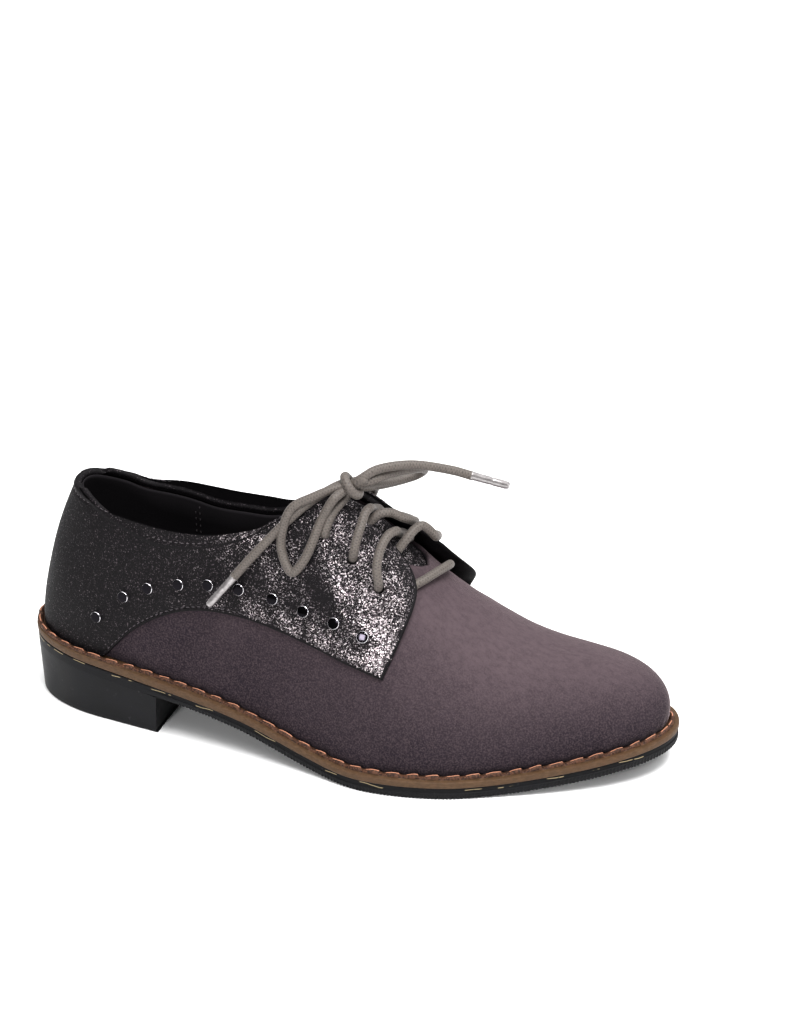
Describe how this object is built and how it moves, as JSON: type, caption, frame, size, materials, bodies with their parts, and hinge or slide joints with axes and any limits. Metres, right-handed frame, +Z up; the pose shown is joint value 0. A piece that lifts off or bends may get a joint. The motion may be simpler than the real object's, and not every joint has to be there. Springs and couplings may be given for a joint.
{
  "type": "studded derby shoe",
  "caption": "Low-heeled lace-up derby shoe with suede vamp, crackled foil quarters, a row of round studs and a stitched welt.",
  "frame": {"origin": "on the floor under the middle of the heel's flat bottom, 28 mm in front of the heel's back", "axes": "+X to the toe, +Y to the inner (medial) side of this right shoe, +Z up"},
  "size_m": [0.2704, 0.0927, 0.1203],
  "materials": {
    "suede": "fine suede nap, matte",
    "foil_leather": "black leather with a crackled pewter foil",
    "rubber": "satin moulded rubber",
    "welt_leather": "matte edge-stained welt",
    "insole_board": "dull sock lining",
    "lace_cord": "waxed braid",
    "stud_metal": "dark polished metal",
    "aglet_plastic": "clear shrunk film"
  },
  "bodies": {
    "root": {"outsole": "rubber", "heel": "rubber", "welt": "welt_leather", "insole": "insole_board", "upper": "suede", "quarters": "foil_leather", "tongue": "foil_leather", "stud_lateral_01": "stud_metal", "stud_lateral_02": "stud_metal", "stud_lateral_03": "stud_metal", "stud_lateral_04": "stud_metal", "stud_lateral_05": "stud_metal", "stud_lateral_06": "stud_metal", "stud_lateral_07": "stud_metal", "stud_lateral_08": "stud_metal", "stud_lateral_09": "stud_metal", "stud_lateral_10": "stud_metal", "stud_medial_01": "stud_metal", "stud_medial_02": "stud_metal", "stud_medial_03": "stud_metal", "stud_medial_04": "stud_metal", "stud_medial_05": "stud_metal", "stud_medial_06": "stud_metal", "stud_medial_07": "stud_metal", "stud_medial_08": "stud_metal", "stud_medial_09": "stud_metal", "stud_medial_10": "stud_metal", "lace_cross_lower": "lace_cord", "lace_cross_upper": "lace_cord", "lace_bar": "lace_cord", "lace_knot": "lace_cord", "lace_tie_lateral": "lace_cord", "lace_tie_medial": "lace_cord", "lace_loop_lateral": "lace_cord", "lace_loop_medial": "lace_cord", "lace_end_lateral": "lace_cord", "lace_end_medial": "lace_cord", "aglet_lateral": "aglet_plastic", "aglet_medial": "aglet_plastic"}
  },
  "joints": []
}
